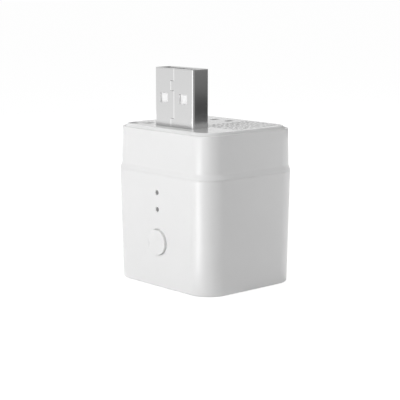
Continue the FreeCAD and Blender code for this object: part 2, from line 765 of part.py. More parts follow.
# Places shared by several pieces
led_height = seam_height - skirt_length - guide_top_play - guide_plate_margin
led_heights = (led_height, led_height - led_pitch)
guide_range = (led_heights[1] - guide_plate_margin, led_heights[0] + guide_plate_margin)
guide_middle = (led_heights[0] + led_heights[1]) / 2
guide_seat = front_face(guide_range[0]) + wall + guide_pad
collar_end = front_face(button_height) + wall + guide_collar_length
inner_half = body_width / 2 - lower_lean(wall) - wall
board_half = inner_half - board_play
plunger_face = board_front - switch_total_height
chamber_start = board_front - switch_body_height + switch_cover
plunger_end = chamber_start + plunger_play + plunger_foot_thickness
chamber_end = plunger_end + button_travel + dome_play + dome_rise
chamber_radius = plunger_radius + plunger_foot + dome_play
socket_tongue_end = socket_recess + socket_tongue_setback + socket_tongue_length
spring_root = socket_tongue_end - spring_setback
radio_foot = contact_tail(contact_places[0]) + contact_sheet / 2 + radio_lift
radio_face = board_back + radio_thickness
resistor_rise = contact_tail(contact_places[0]) + contact_sheet / 2 + row_gap + chip_size[1] / 2
ceramic_rise = resistor_rise + row_pitch
shield_middle = radio_foot + shield_margin + shield_length / 2
crystal_middle = shield_middle - radio_chip_drop + (radio_chip_side + crystal_length) / 2 + crystal_gap
plug_contacts = [make_plug_contact(x) for x in contact_places]
socket_contacts = [make_socket_contact(x) for x in contact_places]

os.makedirs("parts", exist_ok=True)
write("lower_shell", make_lower_shell())
write("upper_shell", make_upper_shell())
write("plug_shell", make_plug_shell())
write("plug_insulator", make_plug_insulator())
write("socket_shell", make_socket_shell())
write("socket_insulator", make_socket_insulator())
for index, x_place in enumerate(contact_places):
    write("plug_contact_" + str(index + 1), plug_contacts[index])
    write("socket_contact_" + str(index + 1), socket_contacts[index])
write("main_board", make_main_board())
write("button_cap", make_button_cap())
write("switch_body", make_switch_body())
write("switch_plunger", make_switch_plunger())
write("switch_dome", make_switch_dome())
write("light_guide", make_light_guide())
write("led_upper", make_led(led_heights[0]))
write("led_lower", make_led(led_heights[1]))
write("radio_board", make_radio_board())
write("radio_shield", make_radio_shield())
write("radio_chip", on_board((0, shield_middle - radio_chip_drop),
                             (radio_chip_side, radio_chip_side, radio_chip_height), radio_face, 1))
write("radio_crystal", on_board((0, crystal_middle),
                                (crystal_width, crystal_length, crystal_height), radio_face, 1))
write("antenna_trace", make_antenna_trace())
write("load_switch_chip", make_load_switch())
write("voltage_regulator", on_board((board_half - regulator_margin, regulator_rise),
                                    regulator_size, board_front, -1))
write("power_inductor", make_inductor())
write("input_capacitor", make_can_capacitor(can_margin - board_half))
write("output_capacitor", make_can_capacitor(board_half - can_margin))
for index in range(chip_count):
    chip_x = chip_margin - board_half + index * chip_pitch
    resistor = on_board((chip_x, resistor_rise), chip_size + (resistor_height,), board_front, -1)
    ceramic = on_board((chip_x, ceramic_rise), chip_size + (ceramic_height,), board_front, -1)
    write("chip_resistor_" + str(index + 1), resistor)
    write("chip_capacitor_" + str(index + 1), ceramic)
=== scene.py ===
# %% [markdown]
# # A small plug-in radio adapter in white plastic
# The real object is a block the size of a matchbox stood on end. Two white shells meet at a fine seam, a
# flat metal plug stands on top, and the front wall has two pin-hole lights and one round push button. The
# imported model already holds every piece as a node, in metres. So this lesson is about the rest: where the
# camera stood, what light fell on the block, what each surface is made of, and visible skins whose edges
# are softer than those of the solids.

# %% Load the model
import json
import math

import bpy
import numpy as np
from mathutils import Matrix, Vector


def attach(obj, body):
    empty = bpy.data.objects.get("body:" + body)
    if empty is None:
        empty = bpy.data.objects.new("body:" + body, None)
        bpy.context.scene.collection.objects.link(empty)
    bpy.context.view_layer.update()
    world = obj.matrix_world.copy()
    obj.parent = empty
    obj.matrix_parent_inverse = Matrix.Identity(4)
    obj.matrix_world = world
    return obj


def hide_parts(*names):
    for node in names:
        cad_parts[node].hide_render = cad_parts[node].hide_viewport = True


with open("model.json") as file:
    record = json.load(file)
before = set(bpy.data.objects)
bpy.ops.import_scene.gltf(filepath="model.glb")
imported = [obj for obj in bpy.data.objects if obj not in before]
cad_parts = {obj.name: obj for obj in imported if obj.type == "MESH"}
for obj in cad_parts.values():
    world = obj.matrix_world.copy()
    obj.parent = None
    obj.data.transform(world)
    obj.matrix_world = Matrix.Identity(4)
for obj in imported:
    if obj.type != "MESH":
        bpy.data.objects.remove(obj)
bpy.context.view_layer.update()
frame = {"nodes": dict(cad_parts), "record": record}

nodes = frame["nodes"]
scene = bpy.context.scene

# %% [markdown]
# ## Where the camera stood
# The upright edges of the block hardly lean in the photograph, so it was taken with a long lens from a
# little above. A camera is a place, a direction and a focal length: with those three, every corner of
# the model falls on its corner in the picture. The sensor is 36 mm wide and the picture is square.

# %% Camera
AZIMUTH = math.radians(48.222)      # round the object, from the front wall towards its right side
ELEVATION = math.radians(9.881)     # above the horizon
LENS_MM, SENSOR_MM = 113.95, 36.0
camera_place = Vector((0.198009, -0.178215, 0.063355))
looking = Vector((-math.sin(AZIMUTH) * math.cos(ELEVATION),
                  math.cos(AZIMUTH) * math.cos(ELEVATION),
                  -math.sin(ELEVATION)))
camera_data = bpy.data.cameras.new("camera")
camera_data.sensor_width = SENSOR_MM
camera_data.lens = LENS_MM
camera_data.clip_start = 0.01
camera_data.clip_end = 20.0
camera = bpy.data.objects.new("camera", camera_data)
camera.location = camera_place
camera.rotation_mode = "QUATERNION"
camera.rotation_quaternion = looking.to_track_quat("-Z", "Y")
scene.collection.objects.link(camera)
scene.camera = camera
print("camera to object", round(camera_place.length, 3), "m")

# %% [markdown]
# ## Small tools for node materials
# Every finish here is a network of nodes. A few short helpers keep the networks readable: one makes an
# empty material, one adds a node and sets its values, one joins an output to an input, and one turns a
# shader into the surface.

# %% Node helpers


def new_material(name):
    """An empty material and its node tree."""
    material = bpy.data.materials.new(name)
    material.use_nodes = True
    material.node_tree.nodes.clear()
    return material, material.node_tree


def add_node(tree, kind, inputs=None, **settings):
    """Add one node, set its properties, then set the values of its named inputs."""
    node = tree.nodes.new(kind)
    for key, value in settings.items():
        setattr(node, key, value)
    for key, value in (inputs or {}).items():
        node.inputs[key].default_value = value
    return node


def join(tree, start, output, end, entry):
    """Draw one link between two nodes."""
    tree.links.new(start.outputs[output], end.inputs[entry])


def become_surface(tree, shader, kind="ShaderNodeOutputMaterial"):
    """Make a shader the surface of the material, or of the world."""
    output = add_node(tree, kind)
    join(tree, shader, 0, output, "Surface")


def grey(value):
    """A neutral colour."""
    return (value, value, value, 1.0)


# %% [markdown]
# ## The studio
# The photograph has a pure white ground and hardly any shadow. More light would bleach the object, so the
# whiteness is painted instead. Light Path tells which kind of ray asks: the camera sees white, a mirror
# sees a paler studio, and plain light meets ordinary paper, which still keeps the object's shadow.

# %% World


def path_and_mirrors(tree):
    """The light path, and a switch that is 1 for rays sent out by a mirror or by glass."""
    path = add_node(tree, "ShaderNodeLightPath")
    mirrors = add_node(tree, "ShaderNodeMath", operation="MAXIMUM")
    join(tree, path, "Is Glossy Ray", mirrors, 0)
    join(tree, path, "Is Transmission Ray", mirrors, 1)
    return path, mirrors


scene.view_settings.view_transform = "Standard"
SKY_LIGHT = 0.42      # what falls on the object
SKY_MIRRORED = 0.80   # what its glossy surfaces mirror
SKY_SHOWN = 1.0       # what the camera sees
world = bpy.data.worlds.new("studio")
scene.world = world
world.use_nodes = True
sky = world.node_tree
sky.nodes.clear()
path, mirrors = path_and_mirrors(sky)
lit_or_mirrored = add_node(sky, "ShaderNodeMapRange", {"To Min": SKY_LIGHT, "To Max": SKY_MIRRORED})
join(sky, mirrors, 0, lit_or_mirrored, "Value")
strength = add_node(sky, "ShaderNodeMapRange", {"To Max": SKY_SHOWN})
join(sky, path, "Is Camera Ray", strength, "Value")
join(sky, lit_or_mirrored, "Result", strength, "To Min")
background = add_node(sky, "ShaderNodeBackground", {"Color": grey(1.0)})
join(sky, strength, "Result", background, "Strength")
become_surface(sky, background, "ShaderNodeOutputWorld")
print("sky", SKY_LIGHT, "as light,", SKY_MIRRORED, "in mirrors")

# %% Floor
PAPER = 0.80
PAPER_MIRRORED = (0.60, 0.62)      # grey of the paper and its glow, as mirrors see it
PAPER_SHOWN = (0.35, 0.84)         # and as the camera sees it
FLOOR_HALF, FLOOR_HEIGHT = 3.0, -2e-5

floor_material, tree = new_material("studio_floor")
path, mirrors = path_and_mirrors(tree)
shown = add_node(tree, "ShaderNodeBsdfDiffuse", {"Color": grey(PAPER)})
for (tone, glow), chooser, ray in ((PAPER_MIRRORED, mirrors, 0), (PAPER_SHOWN, path, "Is Camera Ray")):
    shadowed = add_node(tree, "ShaderNodeBsdfDiffuse", {"Color": grey(tone)})
    shining = add_node(tree, "ShaderNodeEmission", {"Color": grey(1.0), "Strength": glow})
    lit = add_node(tree, "ShaderNodeAddShader")
    join(tree, shadowed, 0, lit, 0)
    join(tree, shining, 0, lit, 1)
    choose = add_node(tree, "ShaderNodeMixShader")
    join(tree, chooser, ray, choose, 0)
    join(tree, shown, 0, choose, 1)
    join(tree, lit, 0, choose, 2)
    shown = choose
become_surface(tree, shown)

floor_mesh = bpy.data.meshes.new("floor")
floor_corners = FLOOR_HALF * np.array([[-1, -1, 0], [1, -1, 0], [1, 1, 0], [-1, 1, 0]]) + [0, 0, FLOOR_HEIGHT]
floor_mesh.from_pydata(floor_corners.tolist(), [], [(0, 1, 2, 3)])
floor = bpy.data.objects.new("floor", floor_mesh)
floor.data.materials.append(floor_material)
scene.collection.objects.link(floor)
print("floor", 2 * FLOOR_HALF, "m square")

# %% [markdown]
# ## Four soft lamps
# The front wall is the brightest side and the right wall is a calm grey, so the main lamp is a tall soft
# box straight in front. A small one behind on the right lifts the right wall, a wide one fills the left,
# and one overhead lights the plate. A soft box is a rectangle of light: the larger it is, the softer its
# shadows. Only the overhead one is mirrored; the gleams of the others come from the cards further on.

# %% Lamps


def soft_box(name, place, aim, width, height, watts, mirrored):
    """A rectangular lamp at place, turned to aim, with its height upright."""
    data = bpy.data.lights.new(name, "AREA")
    data.shape = "RECTANGLE"
    data.size = width
    data.size_y = height
    data.energy = watts
    lamp = bpy.data.objects.new(name, data)
    lamp.location = place
    lamp.rotation_mode = "QUATERNION"
    lamp.rotation_quaternion = (Vector(aim) - Vector(place)).to_track_quat("-Z", "Y")
    lamp.visible_camera = False
    lamp.visible_glossy = mirrored
    scene.collection.objects.link(lamp)
    print(name, watts, "W")


BODY_MIDDLE, NEAR_THE_TOP = (0.0, 0.0, 0.02), (0.0, 0.0, 0.045)
soft_box("key_lamp", (0.0, -0.170, 0.085), NEAR_THE_TOP, 0.078, 0.18, 0.186, mirrored=False)
soft_box("left_lamp", (-0.30, 0.10, 0.10), BODY_MIDDLE, 0.20, 0.20, 0.30, mirrored=False)
soft_box("back_lamp", (0.075, 0.085, 0.02), BODY_MIDDLE, 0.05, 0.06, 0.029, mirrored=False)
soft_box("top_lamp", (0.0, 0.05, 0.45), BODY_MIDDLE, 0.35, 0.35, 0.17, mirrored=True)

# %% [markdown]
# ## Cards that only mirrors see
# A photographer shapes the gleams on shiny things with cards just outside the picture: a dark one makes
# a metal side read as metal, a bright strip draws a line of light down a round corner. These cards hide
# from the camera and from plain light, so they change nothing but the gleams. A card stands on the floor
# with a foot towards the object, or hangs. Its tone is graded from the lowest height to the highest.

# %% The glow of a card


def graded_glow(name):
    """A glowing material whose strength is the point attribute tone."""
    material, tree = new_material(name)
    tone = add_node(tree, "ShaderNodeAttribute", attribute_name="tone")
    glow = add_node(tree, "ShaderNodeEmission", {"Color": grey(1.0)})
    join(tree, tone, "Fac", glow, "Strength")
    become_surface(tree, glow)
    return material


# %% One card


def card(name, middle, facing, width, foot, heights, tones):
    """An upright card, with or without a foot.

    A rail runs up its middle line, from the foot's end where there is one, and each point of the rail has
    a tone. The corners are rail - side * width / 2 and rail + side * width / 2.
    """
    facing = np.array([facing[0], facing[1], 0.0]) / math.hypot(*facing)
    side = np.array([-facing[1], facing[0], 0.0])
    rail = np.tile([middle[0], middle[1], 0.0], (len(tones), 1))
    rail[0] -= foot * facing
    rail[:, 2] = [heights[0], *heights] if foot else heights
    corners = rail[:, None, :] + side * (width / 2) * np.array([-1.0, 1.0])[None, :, None]
    number = np.arange(2 * len(tones)).reshape(-1, 2)
    faces = np.stack([number[:-1, 0], number[:-1, 1], number[1:, 1], number[1:, 0]], axis=1)
    mesh = bpy.data.meshes.new(name)
    mesh.from_pydata(corners.reshape(-1, 3).tolist(), [], faces.tolist())
    tone = mesh.attributes.new("tone", "FLOAT", "POINT")
    tone.data.foreach_set("value", np.repeat(np.array(tones, dtype=np.float32), 2))
    mesh.materials.append(graded_glow(name))
    piece = bpy.data.objects.new(name, mesh)
    piece.visible_camera = False
    piece.visible_diffuse = False
    piece.visible_shadow = False
    scene.collection.objects.link(piece)
    print(name, len(tones), "tones from", min(tones), "to", max(tones))


# %% The seven cards
ON_THE_FLOOR = 0.0002
BACK_RIGHT, BACK, FRONT = (0.7466, 0.6652), (0.0, 1.0), (0.0, -1.0)
card("dark_card", (0.0498, 0.0042), BACK_RIGHT, 0.060, 0.030,
     (ON_THE_FLOOR, 0.022, 0.026),
     (0.16, 0.10, 0.040, 0.060))
card("plug_dark_card", (0.0355, 0.0202), BACK_RIGHT, 0.017, 0.0,
     (0.0262, 0.0275, 0.0290, 0.0305, 0.033, 0.036, 0.0373, 0.060, 0.110),
     (0.34, 0.31, 0.23, 0.105, 0.062, 0.100, 0.160, 0.37, 0.66))
card("back_card", (0.01675, 0.0275), BACK, 0.0265, 0.0,
     (0.0292, 0.033, 0.037, 0.042, 0.060),
     (0.03, 0.020, 0.060, 0.10, 0.25))
card("plate_card", (-0.0240, 0.0275), BACK, 0.052, 0.0,
     (0.0335, 0.060),
     (0.91, 0.91))
card("grey_card", (0.0693, -0.0070), (0.954, -0.300), 0.104, 0.010,
     (ON_THE_FLOOR, 0.030, 0.060, 0.110),
     (0.60, 0.36, 0.34, 0.34, 0.70))
card("line_card", (0.0305, -0.0464), (0.543, -0.840), 0.029, 0.0,
     (0.0240, 0.048),
     (1.5, 1.5))
card("strip_card", (0.0135, -0.0600), FRONT, 0.016, 0.030,
     (ON_THE_FLOOR, 0.014, 0.024, 0.027),
     (4.6, 6.4, 6.1, 6.2, 3.4))

# %% [markdown]
# ## White moulded plastic
# The shells and the button are glossy-satin moulded plastic: a bright neutral colour, a soft sheen, and
# a very fine grain left by the mould. A flat colour with one roughness looks like a drawing, so noise on
# Object coordinates varies the tint and the sheen by a few percent, and a second, finer noise is the
# grain. One material serves both shells, because they come from one batch.

# %% Parts of a finish
NOISE_LOW, NOISE_HIGH = 0.3, 0.7      # nearly all of the noise lies between these


def noise_at(tree, start, output, **values):
    """Noise at the place that an output gives."""
    noise = add_node(tree, "ShaderNodeTexNoise", values)
    join(tree, start, output, noise, "Vector")
    return noise


def times(colour, factor):
    """A colour made lighter or darker, at most white."""
    return tuple(min(channel * factor, 1.0) for channel in colour[:3]) + (1.0,)


def uneven(tree, noise, middle, spread):
    """Noise made a value between middle * (1 - spread) and middle * (1 + spread)."""
    low, high = middle * (1.0 - spread), middle * (1.0 + spread)
    value = add_node(tree, "ShaderNodeMapRange", {
        "From Min": NOISE_LOW, "From Max": NOISE_HIGH, "To Min": low, "To Max": high})
    join(tree, noise, "Fac", value, "Value")
    return value


def grained(tree, noise, height):
    """Noise made a bump of that height in metres."""
    bump = add_node(tree, "ShaderNodeBump", {"Strength": 1.0, "Distance": height})
    join(tree, noise, "Fac", bump, "Height")
    return bump


def shaded_by_attribute(tree):
    """A node that multiplies a colour by 1 + shade, a point attribute that is 0 where a mesh has none."""
    shade = add_node(tree, "ShaderNodeAttribute", attribute_name="shade")
    factor = add_node(tree, "ShaderNodeMath", {1: 1.0}, operation="ADD")
    join(tree, shade, "Fac", factor, 0)
    shaded = add_node(tree, "ShaderNodeVectorMath", operation="SCALE")
    join(tree, factor, 0, shaded, "Scale")
    return shaded


# %% A polished part of a moulding
POLISH, POLISH_EDGE = 0.35, 0.0002


def polished(tree, place, sheen, start):
    """Sheen times a factor that falls from 1 to POLISH over a thin edge above the height start."""
    height = add_node(tree, "ShaderNodeSeparateXYZ")
    join(tree, place, "Object", height, "Vector")
    polish = add_node(tree, "ShaderNodeMapRange", {
        "From Min": start, "From Max": start + POLISH_EDGE, "To Min": 1.0, "To Max": POLISH})
    join(tree, height, "Z", polish, "Value")
    product = add_node(tree, "ShaderNodeMath", operation="MULTIPLY")
    join(tree, sheen, "Result", product, 0)
    join(tree, polish, "Result", product, 1)
    return product


# %% Plastic


def moulded_plastic(name, colour, roughness, grain_scale, grain_height, ior=1.46, polished_above=None):
    """Plastic with a faint mottle in its colour, a little unevenness in its sheen and a fine grain.

    Above the height polished_above (metres) the same moulding is polished.
    """
    material, tree = new_material(name)
    place = add_node(tree, "ShaderNodeTexCoord")
    mottle = noise_at(tree, place, "Object", Scale=140.0, Detail=3.0, Roughness=0.55)
    tint = add_node(tree, "ShaderNodeMix", {"A": times(colour, 0.985), "B": times(colour, 1.015)},
                    data_type="RGBA")
    join(tree, mottle, "Fac", tint, "Factor")
    shaded = shaded_by_attribute(tree)
    join(tree, tint, "Result", shaded, "Vector")
    sheen = uneven(tree, mottle, roughness, 0.08)
    if polished_above is not None:
        sheen = polished(tree, place, sheen, polished_above)
    bump = grained(tree, noise_at(tree, place, "Object", Scale=grain_scale, Detail=2.0), grain_height)
    shader = add_node(tree, "ShaderNodeBsdfPrincipled", {"IOR": ior})
    join(tree, shaded, 0, shader, "Base Color")
    join(tree, sheen, 0, shader, "Roughness")
    join(tree, bump, "Normal", shader, "Normal")
    become_surface(tree, shader)
    return material


PLATE_POLISH = 0.0330
housing_white = moulded_plastic("housing_white", grey(0.80), 0.30, 2600.0, 2.0e-6,
                                polished_above=PLATE_POLISH)
button_white = moulded_plastic("button_white", grey(0.795), 0.28, 2600.0, 1.5e-6)
print("plastics", housing_white.name, button_white.name)

# %% [markdown]
# ## Tinned sheet metal
# The plug is rolled steel sheet with a thin bright coat of tin. Rolling leaves fine streaks along the
# sheet, so the noise is squeezed along one axis by a Mapping node before it varies the roughness. The rest
# of the look of metal is what it mirrors, and that is the work of the studio and its cards.

# %% Sheet metal


def sheet_metal(name, colour, roughness, streak=(1.0, 1.0, 12.0)):
    """Rolled and plated sheet: a metal whose sheen varies in fine streaks along the rolling direction."""
    material, tree = new_material(name)
    place = add_node(tree, "ShaderNodeTexCoord")
    along = add_node(tree, "ShaderNodeMapping", {"Scale": streak})
    join(tree, place, "Object", along, "Vector")
    rolling = noise_at(tree, along, "Vector", Scale=900.0, Detail=3.0)
    sheen = uneven(tree, rolling, roughness, 0.15)
    bump = grained(tree, rolling, 1.0e-6)
    shaded = shaded_by_attribute(tree)
    shaded.inputs["Vector"].default_value = colour[:3]
    shader = add_node(tree, "ShaderNodeBsdfPrincipled", {"Metallic": 1.0})
    join(tree, shaded, 0, shader, "Base Color")
    join(tree, sheen, "Result", shader, "Roughness")
    join(tree, bump, "Normal", shader, "Normal")
    become_surface(tree, shader)
    return material


plug_tin = sheet_metal("plug_tin", grey(0.75), 0.14)
print("metal", plug_tin.name)

# %% [markdown]
# ## The two shells as profiles carried round a rectangle
# On the real object each shell is one moulding: thin walls that lean a little so that it leaves the
# mould, round corners, soft edges, and openings for the sockets, the lights and the button. They could be
# cut from blocks with booleans, but then every soft edge is a problem of its own. Here the wall's cross
# section, outside and inside, is one closed profile, and the profile is carried once round a rectangle
# with round corners. The result is a closed skin of neat quads whose edges are as soft as the profile says.

# %% Columns of a rectangle with round corners
MM = 0.001
HALF_WIDTH, HALF_DEPTH, CORNER = 15.4, 13.3, 5.2      # millimetres, at the seam
CORNER_STEPS = 16
FLAT = 10.1                                           # half the flat part of the front wall
LIGHT_PATCH, LIGHT_REACH = 0.95, 4                    # half a square patch round a hole, and its cells
BUTTON_PATCH, BUTTON_REACH = 4.5, 8


def columns_round_a_rectangle(sides, corner_steps):
    """Each column is a core and an outward direction.

    Its point is core * (half - radius) + outward * radius. Along a side the core slides from -1 to 1 while
    the direction stays. Round a corner the core stays while the direction swings through a quarter turn,
    as cos(a) * first + sin(a) * second.
    """
    cores = []
    directions = []
    swing = np.linspace(0.0, math.pi / 2, corner_steps + 1)[1:-1, None]
    for turn, marks in enumerate(sides):
        along = np.round([math.cos(turn * math.pi / 2), math.sin(turn * math.pi / 2)])
        out = np.array([along[1], -along[0]])
        cores += [marks[:, None] * along + out, np.broadcast_to(along + out, (len(swing), 2))]
        directions += [np.broadcast_to(out, (len(marks), 2)), np.cos(swing) * out + np.sin(swing) * along]
    return np.concatenate(cores), np.concatenate(directions)


light_cells = np.linspace(0.0, LIGHT_PATCH, LIGHT_REACH + 1)
button_cells = np.linspace(LIGHT_PATCH, BUTTON_PATCH, BUTTON_REACH - LIGHT_REACH + 1)[1:]
outer_cells = np.array([6.4, 8.2, 9.8, FLAT])
half_marks = np.concatenate([light_cells, button_cells, outer_cells]) / FLAT
front_marks = np.concatenate([-half_marks[:0:-1], half_marks])
side_marks = np.array([-1.0, -0.96, -0.6, -0.2, 0.2, 0.6, 0.96, 1.0])
shell_columns = columns_round_a_rectangle((front_marks, side_marks, front_marks, side_marks), CORNER_STEPS)
print("columns", len(shell_columns[0]))

# %% [markdown]
# ## Rows of a profile
# A row is one turn round the rectangle at one height: a half width, a half depth and a corner radius. An
# edge is made soft by an arc of rows instead of one. Where the rows are dense the surface bends, and where
# they are far apart it runs straight, so the few rows say just where the moulding is sharp or round.

# %% Rows, arcs and the carrying


def rows(half_x, half_y, radius, height, shift=0.0):
    """Profile rows (half width, half depth, corner radius, height, shift along Y), from numbers or arrays."""
    columns = np.broadcast_arrays(*np.atleast_1d(half_x, half_y, radius, height, shift))
    return np.stack(columns, axis=1)


def arc(across, up, radius, start, end, steps=5):
    """Points on a circle in the plane of the profile: (across + r cos a, up + r sin a), a in degrees."""
    angle = np.radians(np.linspace(start, end, steps + 1))
    return across + radius * np.cos(angle), up + radius * np.sin(angle)


def carry(profile, columns, push=0.0):
    """Carry a closed profile round the rectangle. Returns the points, their numbers and the quads.

    All three are grids of rows and columns, with point = core * (half - radius) + outward * (radius - push).
    So a point may be pushed in by its own small amount, which draws grooves.
    """
    core, outward = columns
    half, radius, height, shift = profile[:, None, :2], profile[:, None, 2:3], profile[:, 3], profile[:, 4]
    flat = core[None] * (half - radius) + outward[None] * (radius - push)
    points = np.empty(flat.shape[:2] + (3,))
    points[..., :2] = flat
    points[..., 1] += shift[:, None]
    points[..., 2] = height[:, None]
    number = np.arange(points.shape[0] * points.shape[1]).reshape(points.shape[:2])
    right = np.roll(number, -1, axis=1)
    quads = np.stack([number, right, np.roll(right, -1, axis=0), np.roll(number, -1, axis=0)], axis=2)
    return points, number, quads


print("a rounded edge has", len(arc(0.0, 0.0, 1.0, 0.0, 90.0)[0]), "rows unless another number is asked for")

# %% From points to a piece
CRISP_ANGLE = math.radians(35.0)


def add_piece(name, points, faces, material, body, shade=None):
    """Put points in millimetres and faces into a mesh. Edges sharper than CRISP_ANGLE stay crisp.

    Shade, where given, is one number for each point: how much lighter or darker the finish is there.
    """
    mesh = bpy.data.meshes.new(name)
    mesh.from_pydata((np.asarray(points).reshape(-1, 3) * MM).tolist(), [], faces)
    mesh.shade_smooth()
    mesh.set_sharp_from_angle(angle=CRISP_ANGLE)
    mesh.materials.append(material)
    if shade is not None:
        every_point = np.zeros(len(mesh.vertices), dtype=np.float32)
        every_point[:shade.size] = shade.ravel()
        mesh.attributes.new("shade", "FLOAT", "POINT").data.foreach_set("value", every_point)
    piece = bpy.data.objects.new(name, mesh)
    scene.collection.objects.link(piece)
    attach(piece, body)
    print(name, len(mesh.polygons), "faces")
    return piece


def bars(limits):
    """Closed blocks from rows of x, y and z limits: eight corners and six quads each."""
    limits = np.asarray(limits, dtype=float).reshape(-1, 3, 2)
    pick = np.array([[i, j, k] for k in (0, 1) for j in (0, 1) for i in (0, 1)])
    corners = limits[:, np.arange(3), pick]
    faces = np.array([[0, 2, 3, 1], [4, 5, 7, 6], [0, 1, 5, 4], [2, 6, 7, 3], [0, 4, 6, 2], [1, 3, 7, 5]])
    return corners.reshape(-1, 3), (8 * np.arange(len(limits))[:, None, None] + faces).reshape(-1, 4)


# %% [markdown]
# ## Lower shell
# An open-topped box that stands on its foot. From outside one sees the leaning wall, the soft edge at the
# foot, the light holes, the button's opening and, from below, the mouth of the socket in its pocket. The
# profile starts at the foot, runs up the outside, over the lip, down the inside, across the floor and out
# through the socket's opening, where it closes.

# %% Lower shell: the measures
SEAM, LOWER_DRAFT, WALL = 23.8, 0.37, 1.8
FOOT_ROUND, LIP_ROUND, POCKET_ROUND = 0.35, 0.02, 0.12
LIP_WALL, LIP_DEPTH = 0.9, 2.75
BUTTON_HEIGHT, LIGHT_HEIGHTS = 9.6, (16.5, 20.05)
SOCKET_HALF, SOCKET_ROUND, SOCKET_SHIFT = (6.75, 3.025), 0.6, 0.025
POCKET_STEP, POCKET_DEPTH = 0.5, 0.95


def lower_rows(inset, height):
    """Rows of the lower shell: the outline at that height, drawn in by inset."""
    back = inset + LOWER_DRAFT * (1.0 - np.asarray(height) / SEAM)
    return rows(HALF_WIDTH - back, HALF_DEPTH - back, CORNER - inset, height)


def pocket_rows(step, height):
    """Rows of the socket's opening in the floor, widened by step."""
    return rows(SOCKET_HALF[0] + step, SOCKET_HALF[1] + step, SOCKET_ROUND + step, height, SOCKET_SHIFT)


print("the wall leans", round(math.degrees(math.atan2(LOWER_DRAFT, SEAM)), 2), "degrees")

# %% Lower shell: the profile


def patch_heights(middle, patch, reach):
    """Heights of the rows across a square patch round a hole."""
    return np.linspace(middle - patch, middle + patch, 2 * reach + 1)


patches = [patch_heights(BUTTON_HEIGHT, BUTTON_PATCH, BUTTON_REACH)]
patches += [patch_heights(height, LIGHT_PATCH, LIGHT_REACH) for height in LIGHT_HEIGHTS]
below_patches, above_patches = [0.6, 2.8], [22.2, 23.4]
wall_heights = np.concatenate([below_patches] + patches + [above_patches])
inner_heights = np.concatenate([[WALL]] + patches)
foot_edge = arc(FOOT_ROUND, FOOT_ROUND, FOOT_ROUND, -90.0, -180.0)
lip_edge = arc(LIP_ROUND, SEAM - LIP_ROUND, LIP_ROUND, 180.0, 90.0, 4)
pocket_edge = arc(POCKET_ROUND, POCKET_ROUND, POCKET_ROUND, 180.0, 270.0, 4)
ledge = [lower_rows(LIP_WALL, SEAM), lower_rows(np.array([LIP_WALL, WALL]), SEAM - LIP_DEPTH)]
lower_profile = np.concatenate([
    lower_rows(*foot_edge),
    lower_rows(0.0, wall_heights),
    lower_rows(*lip_edge),
    *ledge,
    lower_rows(WALL, inner_heights[::-1]),
    pocket_rows(0.0, np.array([WALL, POCKET_DEPTH])),
    pocket_rows(POCKET_STEP, POCKET_DEPTH),
    pocket_rows(POCKET_STEP + pocket_edge[0], pocket_edge[1]),
])
print("lower profile", len(lower_profile), "rows")

# %% [markdown]
# ## Openings in the front wall
# The lights and the button need round holes in a wall made of quads. A boolean would leave long thin
# triangles there that catch the light. Instead a square patch of quads is left out of the wall, outside
# and inside, and rings of quads are laid from the outer square to a circle, down the hole's wall, and out
# to the inner square again. The square has as many points as the circle, so every quad finds its partner.

# %% From a square to a circle


def leaning_front(height):
    """Y of the front wall's outer face: it leans from the foot out to the seam."""
    return LOWER_DRAFT * (1.0 - height / SEAM) - HALF_DEPTH


def square_loop(number, row_ids, column_ids):
    """Numbers of the points round a patch, against the clock as seen from outside, from its lower left."""
    low, high = number[row_ids[0], column_ids], number[row_ids[-1], column_ids]
    left, right = number[row_ids, column_ids[0]], number[row_ids, column_ids[-1]]
    return np.concatenate([low[:-1], right[:-1], high[:0:-1], left[:0:-1]])


def pierce(outer_loop, inner_loop, centre_height, hole_profile, first_number):
    """Rings of points from the outer square through the wall to the inner square.

    A ring of radius r at depth d has the points (r cos a, front wall + d, centre + r sin a), with one
    point for each point of the square, from the lower left corner on.
    """
    count = len(outer_loop)
    angle = np.radians(-135.0) + 2.0 * math.pi * np.arange(count) / count
    radius, depth = hole_profile[:, 0, None], hole_profile[:, 1, None]
    ring = np.empty((len(hole_profile), count, 3))
    ring[..., 0] = radius * np.cos(angle)
    ring[..., 2] = centre_height + radius * np.sin(angle)
    ring[..., 1] = leaning_front(ring[..., 2]) + depth
    number = first_number + np.arange(ring.shape[0] * count).reshape(-1, count)
    chain = np.concatenate([outer_loop[None], number, inner_loop[None]])
    after = np.roll(chain, -1, axis=1)
    quads = np.stack([chain[:-1], after[:-1], after[1:], chain[1:]], axis=2)
    return ring.reshape(-1, 3), quads.reshape(-1, 4)


print("the front wall leans out by", round(leaning_front(0.0) - leaning_front(SEAM), 2), "mm up to the seam")

# %% Lower shell: the walls of the holes
BUTTON_HOLE, BUTTON_HOLE_ROUND, COLLAR_START, COLLAR_RADIUS, COLLAR_DEPTH = 2.75, 0.12, 1.2, 4.0, 2.7
LIGHT_HOLE, LIGHT_HOLE_ROUND, LIGHT_HOLE_MIDDLE = 0.5, 0.07, 0.9


def hole_rim(radius, rounding):
    """Rings from the wall's face into a hole: a quarter circle, as rows of radius and depth."""
    return np.stack(arc(radius + rounding, rounding, rounding, 270.0, 180.0, 4), axis=1)


button_wall = [[BUTTON_HOLE, COLLAR_START], [BUTTON_HOLE, COLLAR_DEPTH],
               [COLLAR_RADIUS, COLLAR_DEPTH], [COLLAR_RADIUS, WALL]]
light_wall = [[LIGHT_HOLE, LIGHT_HOLE_MIDDLE], [LIGHT_HOLE, WALL]]
button_profile = np.concatenate([hole_rim(BUTTON_HOLE, BUTTON_HOLE_ROUND), button_wall])
light_profile = np.concatenate([hole_rim(LIGHT_HOLE, LIGHT_HOLE_ROUND), light_wall])
print("rings in the button's hole", len(button_profile), "and in a light's", len(light_profile))

